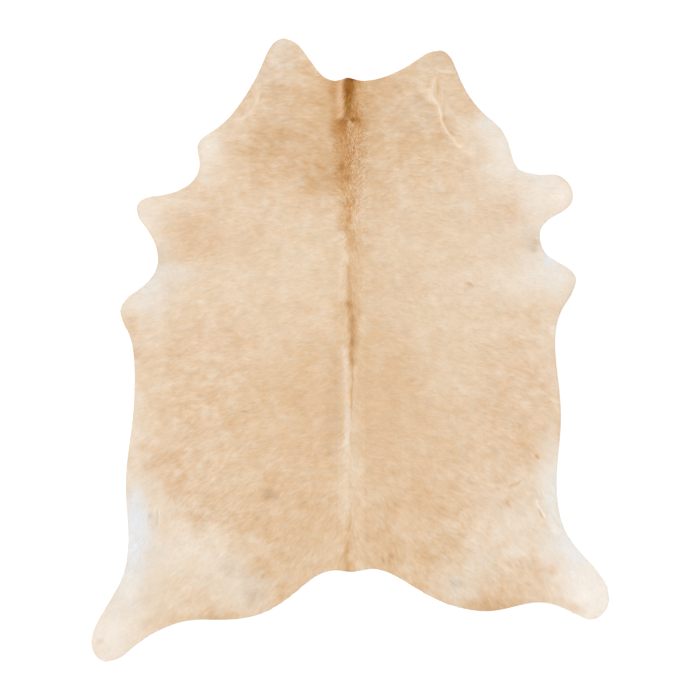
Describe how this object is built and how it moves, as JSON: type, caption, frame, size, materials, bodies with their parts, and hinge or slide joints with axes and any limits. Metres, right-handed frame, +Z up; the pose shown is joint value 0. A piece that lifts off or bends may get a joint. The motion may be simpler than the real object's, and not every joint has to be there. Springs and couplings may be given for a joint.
{
  "type": "cowhide rug",
  "caption": "Flat whole hide rug with the hair on: two neck points, fore and hind leg lobes, a tail stub and a darker spine line.",
  "frame": {"origin": "on the floor, under the middle of the rug's box", "axes": "+Y along the spine towards the neck, +X across to the right seen from the hair side with the neck away, +Z up out of the hair"},
  "size_m": [1.856, 2.234, 0.0076],
  "materials": {
    "hair_coat": "short flat cattle hair, honey to caramel with cream edges and a brown spine, soft sheen",
    "skin_side": "chrome-tanned suede, pale grey beige, matt"
  },
  "bodies": {
    "root": {"hide": "hair_coat"}
  },
  "joints": []
}
